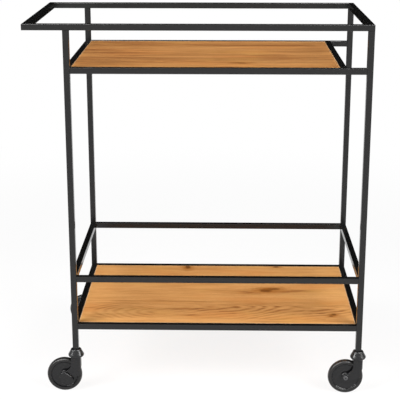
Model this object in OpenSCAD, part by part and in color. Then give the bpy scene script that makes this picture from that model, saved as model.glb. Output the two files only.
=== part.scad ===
// Two-tier bar cart: a welded square-tube frame with a push handle, two wood panels,
// and four swivel casters whose stems sit in inserts in the legs.
// X runs along the cart with the handle at the low end, Y from front to back, Z up.
// The origin is on the floor under the middle of the cart.

/* [Overall] */
// Length over the posts, outer face to outer face
post_span = 624; // [450:1:900]
// Depth over the posts, outer face to outer face
frame_d = 394; // [300:1:600]
// Height of the top rails' upper face above the floor
top_h = 800; // [760:1:1000]
// Reach of the handle past the left posts
handle_reach = 82; // [50:1:150]

/* [Square tube] */
// Outside width of the tube
tube_w = 12.7; // [11:0.1:16]
// Wall of the tube
tube_wall = 1.2; // [0.9:0.1:1.8]
// Outside radius along the tube's edges
tube_edge_r = 1; // [0.5:0.1:1.5]

/* [Levels] */
// Depth of the upper shelf rails' upper face below the top rails' upper face
upper_drop = 87.5; // [60:0.5:200]
// Height of the guard rails' upper face
guard_h = 265; // [220:1:400]
// Height of the lower shelf rails' upper face
lower_h = 157; // [140:1:190]
// Width of the open slot between the upper shelf and the right posts
slot_w = 39; // [20:1:80]

/* [Shelf panels] */
// Thickness of a panel
panel_t = 9; // [7:0.5:9.5]
// Depth of a panel's face below its rails' upper face
panel_drop = 0.6; // [0.3:0.1:1.5]
// Joint between a panel's edge and the rails round it
panel_gap = 0.7; // [0.4:0.1:1.5]
// Bevel along the edges of a panel's face
panel_bevel = 0.6; // [0.3:0.1:1.5]

/* [Panel tabs and screws] */
// Length of a tab along its rail
tab_l = 28; // [20:1:40]
// Reach of a tab under the panel
tab_reach = 17; // [14:1:25]
// Thickness of a tab
tab_t = 2; // [1.5:0.1:2.5]
// Radius of a tab's free corners
tab_corner_r = 5; // [3:0.5:7]
// Thread diameter of a panel screw
screw_d = 3.8; // [3:0.1:4.5]
// Reach of a panel screw into the panel
screw_bite = 6.4; // [5:0.1:6.5]
// Diameter of a screw head
screw_head_d = 8; // [7:0.1:9]
// Height of a screw head
screw_head_h = 2.2; // [1.8:0.1:3]
// Diameter of the driver socket in a screw head
screw_socket_d = 3; // [2:0.1:4]
// Depth of the driver socket in a screw head
screw_socket_h = 1.2; // [0.8:0.1:1.6]

/* [Leg inserts] */
// Length of an insert's plug inside the leg
insert_h = 24; // [20:1:35]
// Thickness of an insert's flange under the leg
insert_flange_t = 1.5; // [1:0.1:3]
// Diameter of the round collar between an insert's flange and the caster
insert_collar_d = 12; // [10:0.1:12.5]
// Height of that collar
insert_collar_h = 2.5; // [1.5:0.1:4]

/* [Caster] */
// Horizontal distance from the swivel axis to the wheel's axle
caster_trail = 26; // [22:1:30]
// Diameter of the wheel over its tyre
wheel_d = 76; // [72:0.5:76]
// Width of the tyre
tyre_w = 16; // [14:0.5:20]
// Radial thickness of the tyre
tyre_t = 7; // [6:0.5:10]
// Gap between the top of the wheel and the cap's lower edge
cap_gap = 4.5; // [4:0.5:12]
// Play between the wheel's hub and each cheek of the fork
hub_play = 0.3; // [0.2:0.1:0.6]
// Diameter of the stem that fastens a caster
stem_d = 8; // [6:0.5:8]
// Reach of the stem above the cap, through the leg insert
stem_reach = 22.5; // [16:0.5:24]
// Diameter of the stem's lower head
stem_head_d = 12.6; // [11:0.1:13]
// Thickness of the stem's lower head
stem_head_t = 2.4; // [2:0.1:3]

/* [Swivel cap] */
// Largest diameter of the cap
cap_d = 34; // [33:0.5:40]
// Diameter of the cap's flat top
cap_top_d = 18.5; // [16:0.5:20]
// Diameter of the cap at its shoulder
cap_shoulder_d = 23.5; // [22:0.5:25]
// Depth of the rounded shoulder below the cap's top
cap_shoulder_h = 2.5; // [1.5:0.1:3.5]
// Height of the cap
cap_h = 17; // [16.5:0.5:18]
// Height of the rounded rim below the cap's widest ring
cap_rim_h = 3.5; // [2.5:0.1:4.5]
// How far the cap's rim tucks in at its lower edge
cap_tuck = 2.5; // [1.5:0.1:3]
// How far the rounding of the rim runs on above the widest ring, in degrees
cap_rim_turn = 24; // [10:1:40]
// Diameter of the cap's hollow
cap_hollow_d = 25; // [24:0.5:26]
// Depth of the cap's hollow
cap_hollow_h = 8; // [7.5:0.1:8.5]
// Thickness of the thrust washer in the hollow
washer_t = 2; // [1.5:0.1:2.5]

/* [Fork] */
// Width of the fork's neck, seen from the side of the wheel
neck_w = 21; // [20:0.5:23]
// Thickness of each cheek
cheek_t = 2.8; // [2.5:0.1:4]
// Gap between the tyre's side and a cheek
cheek_gap = 0.8; // [0.6:0.1:1.5]
// Radius of the hollow curve between neck and hub
arm_hollow_r = 19; // [15:0.5:21]
// Radius of the cheek round the axle
cheek_hub_r = 9; // [8.6:0.1:12]
// Radius of the cheek's outer lower corner
arm_corner_r = 10; // [8:0.5:12]
// Height of that corner's centre above the axle
arm_corner_rise = 8; // [5:0.5:12]
// Radius of the fork's rounded back edges, seen from above
fork_back_r = 7; // [5:0.5:9]
// Gap between the tyre's tread and the inside of the fork
tread_gap = 2.5; // [2:0.1:3.5]
// Gap between the fork and the cap's lower edge
swivel_gap = 0.5; // [0.4:0.1:1]
// Diameter of the raised boss round the axle
boss_d = 15; // [13:0.5:15.5]
// Height of the boss on the cheek
boss_h = 0.8; // [0.6:0.1:2]

/* [Axle] */
// Diameter of the axle rivet
axle_d = 6; // [5:0.1:7]
// Diameter of the rivet's hollow
axle_hollow_d = 3.4; // [2:0.1:4]
// Diameter of a rivet head
rivet_head_d = 9.5; // [8.5:0.1:11]
// Thickness of a rivet head
rivet_head_t = 1.3; // [1:0.1:2]

/* [Wheel] */
// Diameter of the wheel's hub
hub_d = 16; // [14:0.5:18]
// Half thickness of the wheel's web beside the hub
web_half_t = 4.4; // [4:0.1:5.4]
// Half thickness of the wheel's rim
rim_half_t = 7; // [6:0.1:7.8]
// Radial width of the flat band round the rim
rim_t = 0.8; // [0.4:0.1:1.5]
// Radial width of the slope between the web and the rim
rim_slope_w = 3; // [2:0.1:4]
// Radius of the round foot between the web and the hub
hub_foot_r = 2; // [1.5:0.1:3]
// Width of the sloping lip on the tyre's side
lip_w = 3; // [2:0.1:4]

/* [Brake lever] */
// Radius of the lever's round end on the hub
lever_eye_r = 9.2; // [9:0.1:12]
// Radius of the lever's pedal
lever_pedal_r = 13; // [11:0.1:14]
// Distance from the axle to the pedal's centre
lever_l = 11.5; // [8:0.5:12.5]
// Angle of the pedal below the horizontal, in degrees
lever_angle = 56; // [45:1:65]
// Wall of the lever outside the rivet head
lever_face_t = 2; // [1.5:0.1:2.5]
// Gap between the rivet head and the inside of that wall
rivet_gap = 0.7; // [0.4:0.1:1.5]
// Radius of the rounding round the lever's face
lever_edge_r = 1.2; // [0.6:0.1:1.4]
// Width of the raised lip round the pedal
pedal_lip_w = 1.6; // [1:0.1:2.5]
// How far that lip stands out from the lever
pedal_lip_h = 1.4; // [0.8:0.1:2]

/* [Hidden] */

$fn = 64;
front = -1;
back = 1;
left = -1;
right = 1;
overrun = 1; // cuts run this far past the faces that they open
fit = 0.08; // clearance round a pin, a stem or a plug in its hole
running_gap = 0.3; // clearance between faces that turn past each other
edge_steps = 4; // straight steps along a tube's rounded edge
arc_steps = 16; // straight steps along a curve of a profile

frame_colour = "#3b3b3d";
wood_colour = "#c08a4e";
metal_colour = "#8f9194";
moulded_colour = "#232325";
rubber_colour = "#1a1a1b";

// Heights of a caster's cap: its lower edge and its top
cap_z = wheel_d + cap_gap;
caster_h = cap_z + cap_h;

// Places of the frame
cart_l = handle_reach + post_span + (cap_d - tube_w) / 2;
upper_h = top_h - upper_drop;
handle_x = -cart_l / 2;
left_x = handle_x + handle_reach;
right_x = left_x + post_span;
tube_half = tube_w / 2;
leg_end_z = caster_h + insert_collar_h + insert_flange_t;
long_rail_l = post_span - 2 * tube_w;
short_rail_l = frame_d - 2 * tube_w;
long_rail_x = (left_x + right_x) / 2;
cross_rail_x = right_x - tube_w - slot_w - tube_half;

// Sizes and places of the panels, tabs and screws
panel_d = short_rail_l - 2 * panel_gap;
lower_panel_l = long_rail_l - 2 * panel_gap;
upper_panel_l = long_rail_l - slot_w - tube_w - 2 * panel_gap;
upper_panel_x = left_x + tube_w + panel_gap + upper_panel_l / 2;
tab_places_shares = [-0.36, 0.36];
screw_out = tab_reach / 2;

// Sizes and places of the caster
wheel_r = wheel_d / 2;
tyre_half_w = tyre_w / 2;
cap_r = cap_d / 2;
fork_top_z = cap_z - swivel_gap;
hollow_top_z = cap_z + cap_hollow_h;
washer_z = hollow_top_z - washer_t;
crown_top_z = washer_z - running_gap;
crown_r = cap_hollow_d / 2 - swivel_gap;
stem_bore_d = stem_d + 2 * fit;
slot_half_w = tyre_half_w + cheek_gap;
fork_half_w = slot_half_w + cheek_t;
boss_face = fork_half_w + boss_h;
stem_seat_z = wheel_r + sqrt(pow(wheel_r + tread_gap, 2) - pow(caster_trail - stem_head_d / 2, 2))
    + stem_head_t + running_gap;
tyre_bore_r = wheel_r - tyre_t;

// Places and directions in the fork's side view, as [x, height] and degrees
neck_half = neck_w / 2;
fork_axle = [-caster_trail, wheel_r];
fork_corner = [neck_half - arm_corner_r, wheel_r + arm_corner_rise];
hollow_x = -neck_half - arm_hollow_r;
fork_hollow = [
    hollow_x,
    wheel_r + sqrt(pow(arm_hollow_r + cheek_hub_r, 2) - pow(hollow_x + caster_trail, 2))
];
hollow_turn = atan2(fork_axle[1] - fork_hollow[1], fork_axle[0] - fork_hollow[0]);
corner_reach = norm(fork_corner - fork_axle);
corner_spread = asin((cheek_hub_r - arm_corner_r) / corner_reach);
lower_turn = atan2(fork_corner[1] - fork_axle[1], fork_corner[0] - fork_axle[0]) + corner_spread - 90;

// Sizes and places of the brake lever
lever_back = fork_half_w + running_gap;
lever_hollow_h = boss_face + rivet_head_t + rivet_gap - lever_back;
lever_t = lever_hollow_h + lever_face_t;

function post_x(side) = side == left ? left_x + tube_half : right_x - tube_half;
function post_y(side) = side * (frame_d / 2 - tube_half);
// Points along an arc, from one angle to another
function arc(centre, r, from, to, steps = arc_steps) = [
    for (i = [0 : steps])
        let (a = from + (to - from) * i / steps)
        [centre[0] + r * cos(a), centre[1] + r * sin(a)]
];
// A quarter of an ellipse, from one angle to another
function bulge(centre, a_r, b_r, from, to, steps = arc_steps) = [
    for (i = [0 : steps])
        let (a = from + (to - from) * i / steps)
        [centre[0] + a_r * cos(a), centre[1] + b_r * sin(a)]
];

// Square tube

module tube_outline(width, edge_r) {
    reach = width / 2 - edge_r;
    polygon(concat(
        arc([reach, reach], edge_r, 0, 90, edge_steps),
        arc([-reach, reach], edge_r, 90, 180, edge_steps),
        arc([-reach, -reach], edge_r, 180, 270, edge_steps),
        arc([reach, -reach], edge_r, 270, 360, edge_steps)
    ));
}

// A tube along Z from the origin up
module square_tube(length) {
    bore = tube_w - 2 * tube_wall;
    linear_extrude(length) difference() {
        tube_outline(tube_w, tube_edge_r);
        square(bore, center = true);
    }
}

// A tube along X, centred, with its outer side towards -Y and both ends mitred
module mitred_tube(length) {
    intersection() {
        translate([-length / 2, 0, 0]) rotate([90, 0, 90]) square_tube(length);
        translate([0, 0, -tube_half - overrun]) linear_extrude(tube_w + 2 * overrun) polygon([
            [-length / 2 - overrun, -tube_half - overrun],
            [length / 2 + overrun, -tube_half - overrun],
            [length / 2 - tube_w - overrun, tube_half + overrun],
            [-length / 2 + tube_w + overrun, tube_half + overrun]
        ]);
    }
}

// Top frame: two long rails, the handle bar and the right rail, mitred into one loop

module top_rail_long(side) {
    color(frame_colour)
        translate([(handle_x + right_x) / 2, post_y(side), top_h - tube_half])
        rotate(side == front ? 0 : 180)
        mitred_tube(right_x - handle_x);
}

module top_rail_short(x, turn) {
    color(frame_colour)
        translate([x, 0, top_h - tube_half])
        rotate(turn)
        mitred_tube(frame_d);
}

module handle_bar() top_rail_short(handle_x + tube_half, -90);

module top_rail_right() top_rail_short(right_x - tube_half, 90);

// Posts and rails

module post(side_x, side_y) {
    color(frame_colour)
        translate([post_x(side_x), post_y(side_y), leg_end_z])
        square_tube(top_h - tube_w - leg_end_z);
}

module long_rail(side, level) {
    color(frame_colour)
        translate([long_rail_x - long_rail_l / 2, post_y(side), level - tube_half])
        rotate([90, 0, 90])
        square_tube(long_rail_l);
}

module short_rail(x, level) {
    color(frame_colour)
        translate([x, short_rail_l / 2, level - tube_half])
        rotate([90, 0, 0])
        square_tube(short_rail_l);
}

// Shelf panels

module panel_profile(width) {
    reach = width / 2;
    polygon([
        [-reach, -panel_t],
        [reach, -panel_t],
        [reach, -panel_bevel],
        [reach - panel_bevel, 0],
        [panel_bevel - reach, 0],
        [-reach, -panel_bevel]
    ]);
}

// Places of a shelf's tabs as [x, y, turn], on the inner faces of the rails round it
function tab_places(length) = concat(
    [for (share = tab_places_shares, side = [front, back])
        [share * length, side * short_rail_l / 2, side == front ? 0 : 180]],
    [for (side = [left, right])
        [side * (length / 2 + panel_gap), 0, side == left ? -90 : 90]]
);

module panel(length, x, level) {
    color(wood_colour)
        translate([x, 0, level - panel_drop])
        difference() {
            intersection() {
                translate([-length / 2 - overrun, 0, 0]) rotate([90, 0, 90])
                    linear_extrude(length + 2 * overrun) panel_profile(panel_d);
                translate([0, panel_d / 2 + overrun, 0]) rotate([90, 0, 0])
                    linear_extrude(panel_d + 2 * overrun) panel_profile(length);
            }
            for (place = tab_places(length))
                translate([place[0], place[1], -panel_t - overrun])
                rotate(place[2])
                translate([0, screw_out, 0])
                cylinder(d = screw_d + 2 * fit, h = screw_bite + fit + overrun);
        }
}

// A tab that reaches from its rail's inner face along +Y, with its upper face at 0
module tab() {
    corner_x = tab_l / 2 - tab_corner_r;
    corner_y = tab_reach - tab_corner_r;
    difference() {
        translate([0, 0, -tab_t]) linear_extrude(tab_t) polygon(concat(
            [[-tab_l / 2, 0], [tab_l / 2, 0]],
            arc([corner_x, corner_y], tab_corner_r, 0, 90),
            arc([-corner_x, corner_y], tab_corner_r, 90, 180)
        ));
        translate([0, screw_out, -tab_t - overrun])
            cylinder(d = screw_d + 2 * fit, h = tab_t + 2 * overrun);
    }
}

// A screw that stands with its head's seat at 0 and its thread up
module panel_screw() {
    difference() {
        union() {
            cylinder(d = screw_d, h = tab_t + screw_bite);
            rotate_extrude() polygon(concat(
                [[0, 0]],
                bulge([0, 0], screw_head_d / 2, -screw_head_h, 0, 90)
            ));
        }
        translate([0, 0, -screw_head_h - overrun])
            cylinder(d = screw_socket_d, h = screw_socket_h + overrun);
    }
}

module panel_tabs(length, x, level) {
    color(frame_colour)
        for (place = tab_places(length))
            translate([x + place[0], place[1], level - panel_drop - panel_t])
            rotate(place[2])
            tab();
}

module panel_screws(length, x, level) {
    color(metal_colour)
        for (place = tab_places(length))
            translate([x + place[0], place[1], level - panel_drop - panel_t - tab_t])
            rotate(place[2])
            translate([0, screw_out, 0])
            panel_screw();
}

// Leg inserts

module leg_insert() {
    plug_w = tube_w - 2 * tube_wall - 2 * fit;
    difference() {
        union() {
            translate([0, 0, -insert_flange_t]) linear_extrude(insert_flange_t)
                tube_outline(tube_w, tube_edge_r);
            linear_extrude(insert_h) square(plug_w, center = true);
            translate([0, 0, caster_h - leg_end_z])
                cylinder(d = insert_collar_d, h = leg_end_z - caster_h);
        }
        translate([0, 0, caster_h - leg_end_z - overrun])
            cylinder(d = stem_bore_d, h = leg_end_z - caster_h + insert_h + 2 * overrun);
    }
}

module leg_inserts() {
    color(moulded_colour)
        for (side_x = [left, right], side_y = [front, back])
            translate([post_x(side_x), post_y(side_y), leg_end_z])
            leg_insert();
}

// Casters, each drawn round its own swivel axis

module at_caster(side_x, side_y) {
    translate([post_x(side_x), post_y(side_y), 0]) children();
}

// Puts a part that lies along Z on the wheel's axle, with +Z towards the cart's outer side
module on_axle(side_y) {
    translate([-caster_trail, 0, wheel_r]) rotate([side_y == front ? 90 : -90, 0, 0]) children();
}

module thrust_washers() {
    color(metal_colour)
        for (side_x = [left, right], side_y = [front, back])
            at_caster(side_x, side_y)
            translate([0, 0, washer_z])
            difference() {
                cylinder(r = crown_r - fit, h = washer_t);
                translate([0, 0, -overrun]) cylinder(d = stem_bore_d, h = washer_t + 2 * overrun);
            }
}

module stem(side_x, side_y) {
    head_z = stem_seat_z - running_gap - stem_head_t;
    color(metal_colour) at_caster(side_x, side_y) {
        translate([0, 0, head_z]) cylinder(d = stem_head_d, h = stem_head_t);
        translate([0, 0, head_z]) cylinder(d = stem_d, h = caster_h + stem_reach - head_z);
    }
}

module swivel_cap(side_x, side_y) {
    top_r = cap_top_d / 2;
    shoulder_r = cap_shoulder_d / 2;
    belly_z = cap_z + cap_rim_h;
    color(moulded_colour) at_caster(side_x, side_y)
        difference() {
            rotate_extrude() polygon(concat(
                [[0, cap_z]],
                bulge([cap_r - cap_tuck, belly_z], cap_tuck, cap_rim_h, -90, cap_rim_turn),
                bulge([top_r, caster_h - cap_shoulder_h], shoulder_r - top_r, cap_shoulder_h, 0, 90),
                [[0, caster_h]]
            ));
            translate([0, 0, cap_z - overrun])
                cylinder(d = cap_hollow_d, h = cap_hollow_h + overrun);
            translate([0, 0, cap_z]) cylinder(d = stem_bore_d, h = cap_h + overrun);
        }
}

// Side view of the fork: neck, arm with its hollow curve, and the round end at the axle.
// The hollow touches the neck's edge and the round end, and a straight edge runs below to the corner.
module fork_profile() {
    polygon(concat(
        [[neck_half, fork_top_z], [-neck_half, fork_top_z]],
        arc(fork_hollow, arm_hollow_r, 0, hollow_turn),
        arc(fork_axle, cheek_hub_r, 180 + hollow_turn, 360 + lower_turn, 2 * arc_steps),
        arc(fork_corner, arm_corner_r, lower_turn, 0)
    ));
}

// The fork seen from above: flat cheeks with rounded back edges
module fork_plan() {
    back_x = neck_half - fork_back_r;
    back_y = fork_half_w - fork_back_r;
    tip_x = -caster_trail - cheek_hub_r - overrun;
    polygon(concat(
        [[tip_x, -fork_half_w]],
        arc([back_x, -back_y], fork_back_r, -90, 0),
        arc([back_x, back_y], fork_back_r, 0, 90),
        [[tip_x, fork_half_w]]
    ));
}

module fork(side_x, side_y) {
    color(moulded_colour) at_caster(side_x, side_y)
        difference() {
            union() {
                intersection() {
                    translate([0, fork_half_w + overrun, 0]) rotate([90, 0, 0])
                        linear_extrude(2 * (fork_half_w + overrun)) fork_profile();
                    linear_extrude(fork_top_z) fork_plan();
                }
                translate([0, 0, fork_top_z - swivel_gap])
                    cylinder(r = crown_r, h = crown_top_z - fork_top_z + swivel_gap);
                on_axle(side_y) translate([0, 0, -boss_face]) cylinder(d = boss_d, h = 2 * boss_face);
            }
            on_axle(side_y) translate([0, 0, -slot_half_w])
                cylinder(r = wheel_r + tread_gap, h = 2 * slot_half_w, $fn = 128);
            translate([0, 0, stem_seat_z - stem_head_t - wheel_r])
                cylinder(d = stem_head_d + 2 * running_gap, h = stem_head_t + wheel_r);
            translate([0, 0, stem_seat_z - overrun]) cylinder(d = stem_bore_d, h = caster_h);
            on_axle(side_y) translate([0, 0, -boss_face - overrun])
                cylinder(d = axle_d + 2 * fit, h = 2 * (boss_face + overrun));
        }
}

// The axle is a hollow rivet with a head outside each cheek's boss
module axle(side_x, side_y) {
    head_edge = rivet_head_t / 2;
    color(metal_colour) at_caster(side_x, side_y) on_axle(side_y)
        rotate_extrude() polygon(concat(
            [[axle_hollow_d / 2, -boss_face - rivet_head_t]],
            bulge([rivet_head_d / 2 - head_edge, -boss_face - head_edge], head_edge, head_edge, -90, 0, edge_steps),
            [[rivet_head_d / 2, -boss_face], [axle_d / 2, -boss_face]],
            [[axle_d / 2, boss_face], [rivet_head_d / 2, boss_face]],
            bulge([rivet_head_d / 2 - head_edge, boss_face + head_edge], head_edge, head_edge, 0, 90, edge_steps),
            [[axle_hollow_d / 2, boss_face + rivet_head_t]]
        ));
}

// Half of the wheel's section as [radius, half thickness]: hub, web and raised rim
function wheel_section() =
    let (
        hub_half = slot_half_w - hub_play,
        hub_r = hub_d / 2,
        rim_r = tyre_bore_r - rim_t
    )
    concat(
        [[axle_d / 2 + fit, hub_half], [hub_r, hub_half]],
        arc([hub_r + hub_foot_r, web_half_t + hub_foot_r], hub_foot_r, 180, 270, 2 * edge_steps),
        [for (i = [0 : arc_steps])
            let (share = i / arc_steps)
            [rim_r - rim_slope_w * (1 - share),
                web_half_t + (rim_half_t - web_half_t) * (1 - cos(share * 180)) / 2]],
        [[tyre_bore_r, rim_half_t]]
    );

module wheel(side_x, side_y) {
    half = wheel_section();
    count = len(half);
    color(moulded_colour) at_caster(side_x, side_y) on_axle(side_y)
        rotate_extrude($fn = 128) polygon(concat(
            half,
            [for (i = [count - 1 : -1 : 0]) [half[i][0], -half[i][1]]]
        ));
}

module tyre(side_x, side_y) {
    shoulder_r = tyre_bore_r + lip_w;
    color(rubber_colour) at_caster(side_x, side_y) on_axle(side_y)
        rotate_extrude($fn = 128) polygon(concat(
            [[tyre_bore_r, -rim_half_t]],
            bulge([shoulder_r, 0], wheel_r - shoulder_r, tyre_half_w, -90, 90, 2 * arc_steps),
            [[tyre_bore_r, rim_half_t]]
        ));
}

// Outline of the brake lever: round at the axle, and widening to a round pedal along +X
module lever_outline(inset = 0) {
    spread = acos((lever_eye_r - lever_pedal_r) / lever_l);
    polygon(concat(
        arc([0, 0], lever_eye_r - inset, spread, 360 - spread, 2 * arc_steps),
        arc([lever_l, 0], lever_pedal_r - inset, -spread, spread, 2 * arc_steps)
    ));
}

// The lever's plate, rounded round its face
module lever_plate() {
    hull() for (i = [0 : edge_steps]) {
        turn = 90 * i / edge_steps;
        linear_extrude(lever_t - lever_edge_r * (1 - sin(turn)))
            lever_outline(lever_edge_r * (1 - cos(turn)));
    }
}

// A raised lip round the pedal's half of the face
module pedal_lip() {
    linear_extrude(lever_t + pedal_lip_h) intersection() {
        difference() {
            lever_outline(lever_edge_r);
            lever_outline(lever_edge_r + pedal_lip_w);
        }
        translate([lever_l, -2 * lever_pedal_r]) square([2 * lever_pedal_r, 4 * lever_pedal_r]);
    }
}

module brake_lever(side_x, side_y) {
    pedal_turn = side_y == front ? -lever_angle : lever_angle;
    color(moulded_colour) at_caster(side_x, side_y) on_axle(side_y)
        rotate(pedal_turn)
        translate([0, 0, lever_back])
        difference() {
            union() {
                lever_plate();
                pedal_lip();
            }
            translate([0, 0, -overrun])
                cylinder(d = boss_d + 2 * fit, h = lever_hollow_h + overrun);
        }
}

top_rail_long(front);  // top_rail_front
top_rail_long(back);  // top_rail_back
handle_bar();
top_rail_right();
post(left, front);  // post_front_left
post(right, front);  // post_front_right
post(left, back);  // post_back_left
post(right, back);  // post_back_right
long_rail(front, upper_h);  // upper_rail_front
long_rail(back, upper_h);  // upper_rail_back
short_rail(post_x(left), upper_h);  // upper_rail_left
short_rail(cross_rail_x, upper_h);  // upper_cross_rail
long_rail(front, guard_h);  // guard_rail_front
long_rail(back, guard_h);  // guard_rail_back
short_rail(post_x(left), guard_h);  // guard_rail_left
short_rail(post_x(right), guard_h);  // guard_rail_right
long_rail(front, lower_h);  // lower_rail_front
long_rail(back, lower_h);  // lower_rail_back
short_rail(post_x(left), lower_h);  // lower_rail_left
short_rail(post_x(right), lower_h);  // lower_rail_right
panel(upper_panel_l, upper_panel_x, upper_h);  // upper_panel
panel(lower_panel_l, long_rail_x, lower_h);  // lower_panel
panel_tabs(upper_panel_l, upper_panel_x, upper_h);  // upper_panel_tabs
panel_tabs(lower_panel_l, long_rail_x, lower_h);  // lower_panel_tabs
panel_screws(upper_panel_l, upper_panel_x, upper_h);  // upper_panel_screws
panel_screws(lower_panel_l, long_rail_x, lower_h);  // lower_panel_screws
leg_inserts();
thrust_washers();
stem(left, front);  // stem_front_left
stem(right, front);  // stem_front_right
stem(left, back);  // stem_back_left
stem(right, back);  // stem_back_right
swivel_cap(left, front);  // swivel_cap_front_left
swivel_cap(right, front);  // swivel_cap_front_right
swivel_cap(left, back);  // swivel_cap_back_left
swivel_cap(right, back);  // swivel_cap_back_right
fork(left, front);  // fork_front_left
fork(right, front);  // fork_front_right
fork(left, back);  // fork_back_left
fork(right, back);  // fork_back_right
axle(left, front);  // axle_front_left
axle(right, front);  // axle_front_right
axle(left, back);  // axle_back_left
axle(right, back);  // axle_back_right
wheel(left, front);  // wheel_front_left
wheel(right, front);  // wheel_front_right
wheel(left, back);  // wheel_back_left
wheel(right, back);  // wheel_back_right
tyre(left, front);  // tyre_front_left
tyre(right, front);  // tyre_front_right
tyre(left, back);  // tyre_back_left
tyre(right, back);  // tyre_back_right
brake_lever(left, front);  // brake_lever_front_left
brake_lever(left, back);  // brake_lever_back_left
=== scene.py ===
import math
from collections import namedtuple

import bmesh
import bpy
from mathutils import Matrix, Vector


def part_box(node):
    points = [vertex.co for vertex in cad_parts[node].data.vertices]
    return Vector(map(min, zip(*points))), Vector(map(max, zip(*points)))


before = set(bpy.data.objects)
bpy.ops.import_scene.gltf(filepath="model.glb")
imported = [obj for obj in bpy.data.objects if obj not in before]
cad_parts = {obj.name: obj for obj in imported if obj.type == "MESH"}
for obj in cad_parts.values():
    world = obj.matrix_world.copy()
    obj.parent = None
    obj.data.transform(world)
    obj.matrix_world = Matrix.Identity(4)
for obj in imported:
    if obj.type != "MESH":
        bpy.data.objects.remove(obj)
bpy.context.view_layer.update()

MM = 0.001
WHITE = (1, 1, 1, 1)

# Places taken from the frame
FRONT_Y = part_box("top_rail_front")[0].y
POSTS_MIDDLE_X = (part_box("post_front_left")[0].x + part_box("post_front_right")[1].x) / 2
CORNERS = ["front_left", "front_right", "back_left", "back_right"]
FRAME_NODES = [
    "top_rail_front", "top_rail_back", "handle_bar", "top_rail_right",
    "post_front_left", "post_front_right", "post_back_left", "post_back_right",
    "upper_rail_front", "upper_rail_back", "upper_rail_left", "upper_cross_rail",
    "guard_rail_front", "guard_rail_back", "guard_rail_left", "guard_rail_right",
    "lower_rail_front", "lower_rail_back", "lower_rail_left", "lower_rail_right",
    "upper_panel_tabs", "lower_panel_tabs",
]

# The camera stands where the photograph was taken from
CAMERA_SIDE = 9 * MM
CAMERA_DISTANCE = 2250 * MM
CAMERA_HEIGHT = 1092 * MM
CAMERA_TURN = math.radians(1.15)
CAMERA_TILT = math.radians(16.24)
CAMERA_LENS_MM = 101.5
SENSOR_MM = 36


def add_object(name, data):
    made = bpy.data.objects.new(name, data)
    bpy.context.scene.collection.objects.link(made)
    return made


def add_mesh(name, shape, material):
    """Makes an object of one material from a bmesh shape."""
    mesh = bpy.data.meshes.new(name)
    shape.to_mesh(mesh)
    shape.free()
    mesh.materials.append(material)
    return add_object(name, mesh)


def make_camera():
    data = bpy.data.cameras.new("camera")
    data.sensor_width = SENSOR_MM
    data.lens = CAMERA_LENS_MM
    camera = add_object("camera", data)
    place = Vector((POSTS_MIDDLE_X + CAMERA_SIDE, FRONT_Y - CAMERA_DISTANCE, CAMERA_HEIGHT))
    turn = Matrix.Rotation(CAMERA_TURN, 4, "Z") @ Matrix.Rotation(math.pi / 2 - CAMERA_TILT, 4, "X")
    camera.matrix_world = Matrix.Translation(place) @ turn
    bpy.context.scene.camera = camera


class Nodes:
    """Short calls that add nodes to a tree."""

    def __init__(self, tree):
        self.tree = tree

    def feed(self, socket, value):
        if isinstance(value, bpy.types.NodeSocket):
            self.tree.links.new(value, socket)
        else:
            socket.default_value = value

    def make(self, kind, values=None, **settings):
        node = self.tree.nodes.new(kind)
        for field, value in settings.items():
            setattr(node, field, value)
        for key, value in (values or {}).items():
            self.feed(node.inputs[key], value)
        return node

    def calc(self, operation, *values):
        return self.make("ShaderNodeMath", dict(enumerate(values)), operation=operation).outputs[0]

    def smooth(self, value, low, high):
        """0 below low, 1 above high, and smooth between them."""
        values = {"Value": value, "From Min": low, "From Max": high}
        return self.make("ShaderNodeMapRange", values, interpolation_type="SMOOTHSTEP").outputs["Result"]

    def span(self, value, low, high):
        """Turns 0..1 into low..high."""
        return self.make("ShaderNodeMapRange", {"Value": value, "To Min": low, "To Max": high}).outputs["Result"]

    def centred(self, value, amount, base):
        """Adds amount times a 0..1 value, taken about its middle, to base."""
        return self.calc("MULTIPLY_ADD", self.calc("SUBTRACT", value, 0.5), amount, base)

    def wave(self, turns):
        """0..1, once up and down in each whole turn."""
        return self.calc("MULTIPLY_ADD", self.calc("SINE", self.calc("MULTIPLY", turns, 2 * math.pi)), 0.5, 0.5)

    def sees_background(self):
        """1 for camera, glossy and transmission rays, and 0 for the light that falls on the object."""
        rays = self.make("ShaderNodeLightPath").outputs
        seen = self.calc("MAXIMUM", rays["Is Camera Ray"], rays["Is Glossy Ray"])
        return self.calc("MAXIMUM", seen, rays["Is Transmission Ray"])


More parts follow.
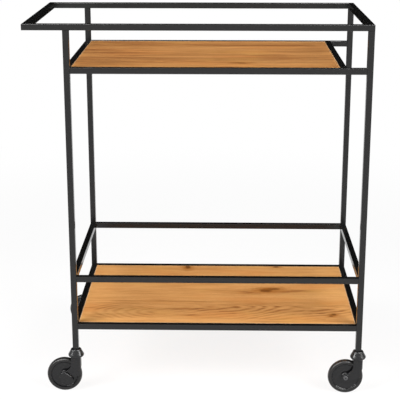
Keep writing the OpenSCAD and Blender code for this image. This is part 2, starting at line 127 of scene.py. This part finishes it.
class Surface(Nodes):
    """A material with one Principled shader."""

    BEVEL_SAMPLES = 6

    def __init__(self, name):
        self.material = bpy.data.materials.new(name)
        self.material.use_nodes = True
        super().__init__(self.material.node_tree)
        self.shader = self.tree.nodes["Principled BSDF"]

    def set(self, name, value):
        self.feed(self.shader.inputs[name], value)

    def show(self, shader):
        """Shows another shader in place of the Principled one."""
        self.feed(self.tree.nodes["Material Output"].inputs["Surface"], shader)

    def glow(self, strength):
        return self.make("ShaderNodeEmission", {"Color": WHITE, "Strength": strength}).outputs[0]

    def place(self):
        """The point's place in the shared frame, in metres."""
        return self.make("ShaderNodeTexCoord").outputs["Object"]

    def noise(self, vector, scale, detail, roughness=0.5, distortion=0.0):
        """Noise of 0..1; scale is per metre of the place, and detail is its number of octaves."""
        values = {"Vector": vector, "Scale": scale, "Detail": detail}
        values.update({"Roughness": roughness, "Distortion": distortion})
        return self.make("ShaderNodeTexNoise", values).outputs["Fac"]

    def ramp(self, value, stops):
        made = self.make("ShaderNodeValToRGB", {"Fac": value})
        elements = made.color_ramp.elements
        while len(elements) < len(stops):
            elements.new(0.5)
        for element, (position, colour) in zip(elements, stops):
            element.position = position
            element.color = (*colour, 1)
        return made.outputs["Color"]

    def mix(self, factor, first, second):
        made = self.make("ShaderNodeMix", {0: factor}, data_type="RGBA")
        for socket, value in ((made.inputs[6], first), (made.inputs[7], second)):
            self.feed(socket, value if isinstance(value, bpy.types.NodeSocket) else (*value, 1))
        return made.outputs[2]

    def bump(self, height, distance, strength, edge_radius=0.0):
        """Gives the surface its relief, and rounds its edges to a small radius where one is given."""
        made = self.make("ShaderNodeBump", {"Height": height, "Distance": distance, "Strength": strength})
        if edge_radius:
            rounded = self.make("ShaderNodeBevel", {"Radius": edge_radius}, samples=self.BEVEL_SAMPLES)
            self.feed(made.inputs["Normal"], rounded.outputs["Normal"])
        self.feed(self.shader.inputs["Normal"], made.outputs["Normal"])


def powder_coat():
    """Black satin powder coat with a fine orange peel."""
    surface = Surface("powder_coat")
    place = surface.place()
    cloud = surface.noise(place, scale=9, detail=2)
    surface.set("Base Color", surface.mix(cloud, (0.0030, 0.0029, 0.0029), (0.0050, 0.0048, 0.0047)))
    surface.set("Roughness", surface.span(surface.noise(place, scale=160, detail=4), 0.17, 0.24))
    surface.set("Specular IOR Level", 0.42)
    orange_peel = surface.noise(place, scale=620, detail=3, roughness=0.55)
    surface.bump(orange_peel, distance=0.10 * MM, strength=0.45)
    return surface.material


def moulded_black(name, smoothest, roughest, edge_radius):
    """Black moulded plastic."""
    surface = Surface(name)
    place = surface.place()
    surface.set("Base Color", (0.007, 0.007, 0.0075, 1))
    surface.set("Roughness", surface.span(surface.noise(place, scale=240, detail=3), smoothest, roughest))
    surface.set("Specular IOR Level", 0.34)
    surface.bump(surface.noise(place, scale=130, detail=2), 0.3 * MM, 0.22, edge_radius)
    return surface.material


def tyre_rubber():
    """Dark tread material, a little duller than the wheel."""
    surface = Surface("tyre_rubber")
    place = surface.place()
    cloud = surface.noise(place, scale=60, detail=3)
    surface.set("Base Color", surface.mix(cloud, (0.008, 0.0075, 0.0073), (0.012, 0.0112, 0.0108)))
    surface.set("Specular IOR Level", 0.32)
    surface.set("Roughness", surface.span(surface.noise(place, scale=300, detail=3), 0.27, 0.40))
    surface.bump(surface.noise(place, scale=900, detail=2), distance=0.10 * MM, strength=0.35)
    return surface.material


def plated_steel():
    """Dull zinc-plated steel."""
    surface = Surface("plated_steel")
    place = surface.place()
    cloud = surface.noise(place, scale=220, detail=3)
    surface.set("Base Color", surface.mix(cloud, (0.09, 0.09, 0.093), (0.16, 0.16, 0.163)))
    surface.set("Metallic", 1.0)
    surface.set("Roughness", surface.span(surface.noise(place, scale=700, detail=2), 0.30, 0.46))
    return surface.material


# The oak's colours
OAK_PALE = (0.66, 0.345, 0.120)
OAK_MIDDLE = (0.545, 0.258, 0.080)
OAK_DARK = (0.385, 0.158, 0.042)
OAK_DEEP = (0.235, 0.083, 0.020)
OAK_ORANGE = (0.60, 0.238, 0.062)
OAK_YELLOW = (0.60, 0.315, 0.080)
# The pale edge's colour: partly the edge's own paler wood, partly a painted highlight on its rounded edge
OAK_EDGE_AND_HIGHLIGHT = (0.62, 0.40, 0.215)
KNOT_BROWN = (0.135, 0.042, 0.006)
KNOT_STAIN = (0.330, 0.115, 0.016)
TONE_COLOURS = [(0.0, OAK_DEEP), (0.20, OAK_DARK), (0.55, OAK_MIDDLE), (1.0, OAK_PALE)]

# The oak's noises: scale per metre along and across the grain, octaves, roughness and distortion
Layer = namedtuple("Layer", "along across detail roughness distortion", defaults=(0.5, 0.0))
WANDER = Layer(3.2, 8, 2)
RING_WAVER = Layer(7, 16, 3, 0.55)
STREAK = Layer(1.7, 40, 4, 0.62)
BAND = Layer(8, 78, 3, 0.6)
DASH = Layer(16, 190, 3, 0.6)
FIBRE = Layer(22, 620, 3, 0.6)
FLECK = Layer(34, 105, 3, 0.6, 1.4)
PORE = Layer(70, 1700, 2)
CLOUD = Layer(5, 14, 2)
BLUSH = Layer(5, 17, 2)
HONEY = Layer(6, 13, 2)
KNOT_EDGE = Layer(90, 170, 3, 0.65)
ARCH_WAVER = Layer(12, 24, 4, 0.55)
ARCH_DRIFT = Layer(7, 5, 1)
ARCH_PATCH = Layer(22, 55, 3, 0.6)

# The values at which a thing begins to show, and at which it is full
PORE_RANGE = (0.54, 0.70)
FLECK_RANGE = (0.60, 0.70)
HONEY_RANGE = (0.52, 0.74)
BLUSH_RANGE = (0.50, 0.72)
PATCH_RANGE = (0.22, 0.56)
FIGURE_RANGE = (0.08, 0.62)
STAIN_RANGE = (0.10, 1.0)
HEART_RANGE = (0.30, 0.75)

# How far the grain wanders, and the turns by which the rings and the arches waver
WANDER_WIDTH = 30 * MM
RING_WIDTH = 4.6 * MM
RING_WAVER_TURNS = 4.6
RING_SHARPNESS = 2.0
ARCH_DRIFT_TURNS = 3.4
ARCH_WAVER_TURNS = 1.5
ARCH_SHARPNESS = 1.3
ARCH_STRENGTH = 1.15

# How much each layer changes the tone
STREAK_SHARE = 0.95
CLOUD_SHARE = 0.55
RING_SHARE = -0.26
BAND_SHARE = 0.85
DASH_SHARE = 0.75
FIBRE_SHARE = 0.45
FLECK_SHARE = 0.16

# The pores stand in the early wood more than elsewhere
EARLY_PORES = 0.7
OTHER_PORES = 0.3

# How much a tint, a knot's stain and the pale edge cover the colour below them; the pale edge is partly the edge's
# own paler wood and partly a painted highlight
TINT_SHARE = 0.45
STAIN_SHARE = 0.85
EDGE_AND_HIGHLIGHT_SHARE = 0.8
PALE_EDGE_WIDTH = 1.5 * MM
EDGE_FADE = 1.25

# How far a knot bends the grain and stains it, along and across, as multiples of its size
BEND_REACH = (2.6, 2.4)
STAIN_REACH = (2.4, 1.9)
GRAIN_BEND = 0.85
STAIN_RAGGED = 0.9
HEART_RAGGED = 1.0

# The oak's gloss, and its relief as multiples of a pore's depth
OAK_ROUGHNESS = 0.56
PORE_ROUGHNESS = 0.15
PALE_ROUGHNESS = -0.08
PORE_DEPTH = 0.18 * MM
FIBRE_RELIEF = 0.25
KNOT_RELIEF = -0.6

# A row for one figure of nested arches: axis is the Y that their tips lie on; step is from tip to tip, and its sign
# is the way they point; above and below are the gaps between their arms on the two sides of the axis; the rest is
# the ellipse that the figure fills, and how dark its lines are
Cathedral = namedtuple("Cathedral", "axis step above below x y half_length half_width darkness")

# A row for a knot or a soft streak; a negative darkness makes it paler
Spot = namedtuple("Spot", "x y half_length half_width darkness")


def in_mm(kind, rows):
    """Turns rows of lengths in millimetres, with a share at the end, into metres."""
    return [kind(*(value * MM for value in row[:-1]), row[-1]) for row in rows]


# The figure of each board, as the photograph shows it
LOWER_CATHEDRALS = in_mm(Cathedral, [
    (-86, 44, 6, 15, 165, -114, 190, 44, 0.50),
    (-122, -38, 14, 14, -175, -118, 84, 44, 0.36),
])
LOWER_KNOTS = in_mm(Spot, [
    (149, 16, 18, 12, 0.98),
    (169, 25, 17, 8, 0.72),
    (179, 178, 8, 6, 0.8),
    (-38, 172, 7, 14, 0.9),
    (293, -131, 6, 6, 0.9),
    (286, -139, 5, 5, 0.7),
])
LOWER_BANDS = in_mm(Spot, [
    (222, 18, 56, 8, 0.75),
    (108, 4, 28, 10, 0.60),
    (-20, -58, 200, 4.5, 0.50),
    (-44, -103, 42, 5, 0.45),
    (-26, -142, 18, 4, 0.55),
    (-160, -18, 90, 12, 0.12),
    (250, -60, 70, 14, 0.16),
    (-60, 150, 120, 20, 0.22),
    (150, 110, 160, 16, 0.18),
    (-190, -118, 40, 22, -0.22),
])
UPPER_CATHEDRALS = in_mm(Cathedral, [
    (-112, 60, 9, 9, 20, -112, 150, 26, 0.20),
])
UPPER_KNOTS = in_mm(Spot, [
    (85, -130, 12, 7, 0.9),
    (70, -124, 13, 6, 0.35),
])
UPPER_BANDS = in_mm(Spot, [
    (130, 126, 130, 18, 0.34),
    (-130, 116, 130, 20, 0.28),
    (90, 88, 130, 10, -0.24),
    (185, -55, 80, 6, 0.46),
    (62, -62, 44, 5, 0.40),
    (-170, -55, 110, 8, 0.28),
    (-140, -2, 70, 9, 0.20),
    (-48, -103, 16, 8, 0.26),
    (-13, -107, 10, 7, 0.22),
    (150, -140, 140, 26, -0.18),
])


class Oak(Surface):
    """Oiled wild oak, plain sawn, with its grain along X."""

    def __init__(self, node, seed):
        super().__init__("oak_" + node)
        self.seed = seed
        self.usual_shift = (seed, seed * 0.7, seed * 0.3)
        self.point = self.place()
        parts = self.make("ShaderNodeSeparateXYZ", {0: self.point}).outputs
        self.x, self.y = parts[0], parts[1]

    def shift(self, x=0, y=0):
        """Moves a noise away from the others of its scale."""
        return (self.seed + x, self.seed + y, 0)

    def layer(self, vector, layer, shift=None):
        values = {0: vector, 1: (layer.along, layer.across, 1), 2: shift or self.usual_shift}
        stretched = self.make("ShaderNodeVectorMath", values, operation="MULTIPLY_ADD").outputs[0]
        return self.noise(stretched, 1, layer.detail, layer.roughness, layer.distortion)

    def bell(self, y, row, longer=1.0, wider=1.0):
        """1 at the row's middle, falling off smoothly over its ellipse along the grain."""
        across = self.calc("DIVIDE", self.calc("SUBTRACT", y, row.y), wider * row.half_width)
        along = self.calc("DIVIDE", self.calc("SUBTRACT", self.x, row.x), longer * row.half_length)
        square = self.calc("MULTIPLY_ADD", across, across, self.calc("MULTIPLY", along, along))
        return self.calc("EXPONENT", self.calc("MULTIPLY", square, -1.0))

    def grain_lines(self, knots):
        """The board's Y, bent so that the grain goes round each knot and wanders a little everywhere."""
        flow = self.centred(self.layer(self.point, WANDER), WANDER_WIDTH, self.y)
        for knot in knots:
            near = self.bell(self.y, knot, *BEND_REACH)
            off = self.calc("SUBTRACT", self.y, knot.y)
            flow = self.calc("MULTIPLY_ADD", self.calc("MULTIPLY", near, off), -GRAIN_BEND, flow)
        return flow

    def early_wood(self, flow):
        """Growth rings that run along the board and waver slowly: 1 in the early wood."""
        waver = self.layer(self.point, RING_WAVER)
        turns = self.centred(waver, RING_WAVER_TURNS, self.calc("DIVIDE", flow, RING_WIDTH))
        return self.calc("POWER", self.wave(turns), RING_SHARPNESS)

    def arches(self, row):
        """The dark lines of one cathedral: nested arches whose tips lie on an axis along the grain."""
        off = self.calc("SUBTRACT", self.y, row.axis)
        drift = self.layer(self.point, ARCH_DRIFT)
        turns = self.centred(drift, ARCH_DRIFT_TURNS, self.calc("DIVIDE", self.x, row.step))
        for side, gap in (("MAXIMUM", row.above), ("MINIMUM", row.below)):
            arm = self.calc("DIVIDE", self.calc(side, off, 0.0), gap)
            turns = self.calc("ADD", turns, self.calc("SQRT", self.calc("MULTIPLY_ADD", arm, arm, 1.0)))
        waver = self.layer(self.point, ARCH_WAVER)
        lines = self.calc("POWER", self.wave(self.centred(waver, ARCH_WAVER_TURNS, turns)), ARCH_SHARPNESS)
        patch = self.smooth(self.layer(self.point, ARCH_PATCH, (self.seed + 2, 0, 0)), *PATCH_RANGE)
        lines = self.calc("MULTIPLY", lines, self.calc("MULTIPLY", patch, ARCH_STRENGTH))
        filled = self.smooth(self.bell(self.y, row), *FIGURE_RANGE)
        return self.calc("MULTIPLY", lines, filled)

    def pale_edge_and_highlight(self, node):
        """1 on the pale band round the panel's edge, which is partly its own paler wood and partly a painted
        highlight, and 0 inside it.
        """
        low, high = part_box(node)
        along = self.calc("MINIMUM", self.calc("SUBTRACT", self.x, low.x), self.calc("SUBTRACT", high.x, self.x))
        across = self.calc("MINIMUM", self.calc("SUBTRACT", self.y, low.y), self.calc("SUBTRACT", high.y, self.y))
        return self.smooth(self.calc("MINIMUM", along, across), EDGE_FADE * PALE_EDGE_WIDTH, PALE_EDGE_WIDTH)


def oak(node, cathedrals, knots, bands, seed, level):
    """The oak of one panel; level is the board's lightness, which for the upper panel also holds painted shade."""
    board = Oak(node, seed)
    flow = board.grain_lines(knots)
    early = board.early_wood(flow)
    along = board.make("ShaderNodeCombineXYZ", {0: board.x, 1: flow, 2: seed}).outputs[0]
    fibre = board.layer(along, FIBRE)
    pores = board.smooth(board.layer(along, PORE), *PORE_RANGE)
    pores = board.calc("MULTIPLY", pores, board.calc("MULTIPLY_ADD", early, EARLY_PORES, OTHER_PORES))

    # The tone, from 0 for dark to 1 for pale
    tone = board.centred(board.layer(along, STREAK), STREAK_SHARE, level)
    tone = board.centred(board.layer(board.point, CLOUD), CLOUD_SHARE, tone)
    tone = board.centred(early, RING_SHARE, tone)
    tone = board.centred(board.layer(along, BAND, board.shift(x=3)), BAND_SHARE, tone)
    tone = board.centred(board.layer(along, DASH), DASH_SHARE, tone)
    tone = board.centred(fibre, FIBRE_SHARE, tone)
    fleck = board.smooth(board.layer(along, FLECK, board.shift(x=9)), *FLECK_RANGE)
    tone = board.calc("MULTIPLY_ADD", fleck, FLECK_SHARE, tone)
    for row in cathedrals:
        tone = board.calc("MULTIPLY_ADD", board.arches(row), -row.darkness, tone)
    for row in bands:
        tone = board.calc("MULTIPLY_ADD", board.bell(flow, row), -row.darkness, tone)
    tone = board.calc("MINIMUM", board.calc("MAXIMUM", tone, 0.0), 1.0)

    # The colour, with yellow and orange clouds and dark pores
    colour = board.ramp(tone, TONE_COLOURS)
    honey = board.smooth(board.layer(board.point, HONEY, board.shift(y=7)), *HONEY_RANGE)
    blush = board.smooth(board.layer(board.point, BLUSH, board.shift(x=5)), *BLUSH_RANGE)
    for cover, tint in ((honey, OAK_YELLOW), (blush, OAK_ORANGE), (pores, OAK_DEEP)):
        colour = board.mix(board.calc("MULTIPLY", cover, TINT_SHARE), colour, tint)

    # Knots: a dark heart with a ragged edge, in a stain that trails along the grain
    ragged = board.calc("SUBTRACT", board.layer(board.point, KNOT_EDGE), 0.5)
    height = board.calc("MULTIPLY", pores, -1.0)
    for knot in knots:
        stain = board.bell(board.y, knot, *STAIN_REACH)
        stain = board.smooth(board.calc("MULTIPLY_ADD", ragged, STAIN_RAGGED, stain), *STAIN_RANGE)
        colour = board.mix(board.calc("MULTIPLY", stain, STAIN_SHARE * knot.darkness), colour, KNOT_STAIN)
        heart = board.bell(board.y, knot)
        heart = board.smooth(board.calc("MULTIPLY_ADD", ragged, HEART_RAGGED, heart), *HEART_RANGE)
        colour = board.mix(board.calc("MULTIPLY", heart, knot.darkness), colour, KNOT_BROWN)
        height = board.calc("MULTIPLY_ADD", heart, KNOT_RELIEF * knot.darkness, height)

    # The pale band round the edge is partly the edge's own paler wood and partly a painted highlight
    edge = board.calc("MULTIPLY", board.pale_edge_and_highlight(node), EDGE_AND_HIGHLIGHT_SHARE)
    board.set("Base Color", board.mix(edge, colour, OAK_EDGE_AND_HIGHLIGHT))
    roughness = board.calc("MULTIPLY_ADD", pores, PORE_ROUGHNESS, OAK_ROUGHNESS)
    board.set("Roughness", board.calc("MULTIPLY_ADD", tone, PALE_ROUGHNESS, roughness))
    board.set("Specular IOR Level", 0.12)
    height = board.calc("MULTIPLY_ADD", fibre, FIBRE_RELIEF, height)
    board.bump(height, distance=PORE_DEPTH, strength=0.6)
    return board.material


def assign(material, names):
    for name in names:
        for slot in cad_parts[name].material_slots:
            slot.material = material


def dress_nodes():
    assign(powder_coat(), FRAME_NODES)
    # The upper board's low level is partly its own darker wood and partly painted shade, for the low light that
    # falls across it
    upper = oak("upper_panel", UPPER_CATHEDRALS, UPPER_KNOTS, UPPER_BANDS, seed=3.7, level=0.31)
    lower = oak("lower_panel", LOWER_CATHEDRALS, LOWER_KNOTS, LOWER_BANDS, seed=8.2, level=0.66)
    assign(upper, ["upper_panel"])
    assign(lower, ["lower_panel"])
    moulded = moulded_black("moulded_black", 0.10, 0.17, edge_radius=0.7 * MM)
    moulded_wheel = moulded_black("moulded_wheel", 0.07, 0.12, edge_radius=0.0)
    moulded_cap = moulded_black("moulded_cap", 0.22, 0.30, edge_radius=0.5 * MM)
    plated = plated_steel()
    rubber = tyre_rubber()
    assign(moulded, ["leg_inserts", "brake_lever_front_left", "brake_lever_back_left"])
    assign(plated, ["upper_panel_screws", "lower_panel_screws", "thrust_washers"])
    for corner in CORNERS:
        assign(moulded_cap, ["swivel_cap_" + corner])
        assign(moulded, ["fork_" + corner])
        assign(moulded_wheel, ["wheel_" + corner])
        assign(plated, ["stem_" + corner, "axle_" + corner])
        assign(rubber, ["tyre_" + corner])


# The floor is a little greyer close to the object than far from it
FLOOR_RADIUS = 40.0
FLOOR_SEGMENTS = 96
FLOOR_GREY = 0.93
FLOOR_WHITE_NEAR = 0.86
FLOOR_NEAR = 0.7
FLOOR_FAR = 2.2

# The light of the world on the object; the camera and the gloss see it as white
WORLD_FILL = 0.32

# The lamps, each with its place and size in metres and its power in watts
LAMP_TARGET = (0, 0, 0.42)
LAMPS = [
    ("left_lamp", (-2.0, -1.6, 1.75), (1.6, 1.5), 103),
    ("right_lamp", (2.0, -1.6, 1.75), (1.6, 1.5), 91),
    ("top_lamp", (0.2, 0.1, 3.2), (2.4, 2.4), 8),
]

# The sheets for the reflections, in metres; their angles are in degrees
FLAG_RADIUS = 2.4
FLAG_LOW = 0.25
FLAG_HIGH = 4.0
FLAG_SPREAD = 80
FLAG_GREY = 0.004
SOFTBOX_RADIUS = 3.2
SOFTBOX_FRONT_Y = -1.5
SOFTBOX_BACK_Y = -0.7
SOFTBOX_START = 8
SOFTBOX_END = 65
SOFTBOX_LEVEL = 30.0
SHEET_STEPS = 24


def matte(name, grey):
    surface = Surface(name)
    surface.set("Base Color", (grey, grey, grey, 1))
    surface.set("Roughness", 1.0)
    surface.set("Specular IOR Level", 0.0)
    return surface


def make_floor():
    """A white floor that keeps the object's shadow."""
    surface = matte("floor_white", FLOOR_GREY)
    distance = surface.make("ShaderNodeVectorMath", {0: surface.place()}, operation="LENGTH").outputs["Value"]
    white = surface.span(surface.smooth(distance, FLOOR_NEAR, FLOOR_FAR), FLOOR_WHITE_NEAR, 1.0)
    share = surface.calc("MULTIPLY", surface.sees_background(), white)
    shaders = {0: share, 1: surface.shader.outputs[0], 2: surface.glow(1.0)}
    surface.show(surface.make("ShaderNodeMixShader", shaders).outputs[0])
    shape = bmesh.new()
    bmesh.ops.create_circle(shape, cap_ends=True, radius=FLOOR_RADIUS, segments=FLOOR_SEGMENTS)
    floor = add_mesh("floor", shape, surface.material)


def make_world():
    world = bpy.data.worlds.new("studio")
    world.use_nodes = True
    world.node_tree.nodes.clear()
    nodes = Nodes(world.node_tree)
    level = nodes.span(nodes.sees_background(), WORLD_FILL, 1.0)
    sky = nodes.make("ShaderNodeBackground", {"Color": WHITE, "Strength": level})
    nodes.make("ShaderNodeOutputWorld", {"Surface": sky.outputs[0]})
    bpy.context.scene.world = world


def make_lamps():
    """The lamps light the object, and the gloss doesn't show them."""
    for name, place, size, power in LAMPS:
        data = bpy.data.lights.new(name, "AREA")
        data.shape = "RECTANGLE"
        data.size, data.size_y = size
        data.energy = power
        lamp = add_object(name, data)
        aim = (Vector(LAMP_TARGET) - Vector(place)).to_track_quat("-Z", "Y")
        lamp.matrix_world = Matrix.Translation(place) @ aim.to_matrix().to_4x4()
        lamp.visible_glossy = False


def hang_sheet(name, edges, material):
    """Makes a curved sheet between two edges, each a row of points. The camera doesn't see it."""
    shape = bmesh.new()
    first, second = ([shape.verts.new(point) for point in edge] for edge in edges)
    for step in range(len(first) - 1):
        shape.faces.new((first[step], first[step + 1], second[step + 1], second[step]))
    sheet = add_mesh(name, shape, material)
    sheet.visible_camera = False
    return sheet


def arc(radius, start, end):
    """Points of an arc, as pairs: the first is along X, and the second along the axis where the angle is 0."""
    angles = [math.radians(start + (end - start) * step / SHEET_STEPS) for step in range(SHEET_STEPS + 1)]
    return [(radius * math.sin(angle), radius * math.cos(angle)) for angle in angles]


def make_flag():
    """A black sheet that hangs behind the set, above the cart's back, as in a product studio."""
    points = arc(FLAG_RADIUS, -FLAG_SPREAD, FLAG_SPREAD)
    edges = [[(x, y, z) for x, y in points] for z in (FLAG_LOW, FLAG_HIGH)]
    hang_sheet("flag", edges, matte("flag_black", FLAG_GREY).material)


def make_softboxes():
    """Two bright curved boxes over the front of the set, which show in gloss alone and light nothing."""
    surface = Surface("softbox_white")
    surface.show(surface.glow(SOFTBOX_LEVEL))
    for name, side in (("softbox_left", -1), ("softbox_right", 1)):
        points = arc(SOFTBOX_RADIUS, side * SOFTBOX_START, side * SOFTBOX_END)
        edges = [[(x, y, z) for x, z in points] for y in (SOFTBOX_FRONT_Y, SOFTBOX_BACK_Y)]
        sheet = hang_sheet(name, edges, surface.material)
        sheet.visible_diffuse = False
        sheet.visible_shadow = False


bpy.context.scene.view_settings.view_transform = "Standard"
make_camera()
dress_nodes()
make_floor()
make_world()
make_flag()
make_softboxes()
make_lamps()
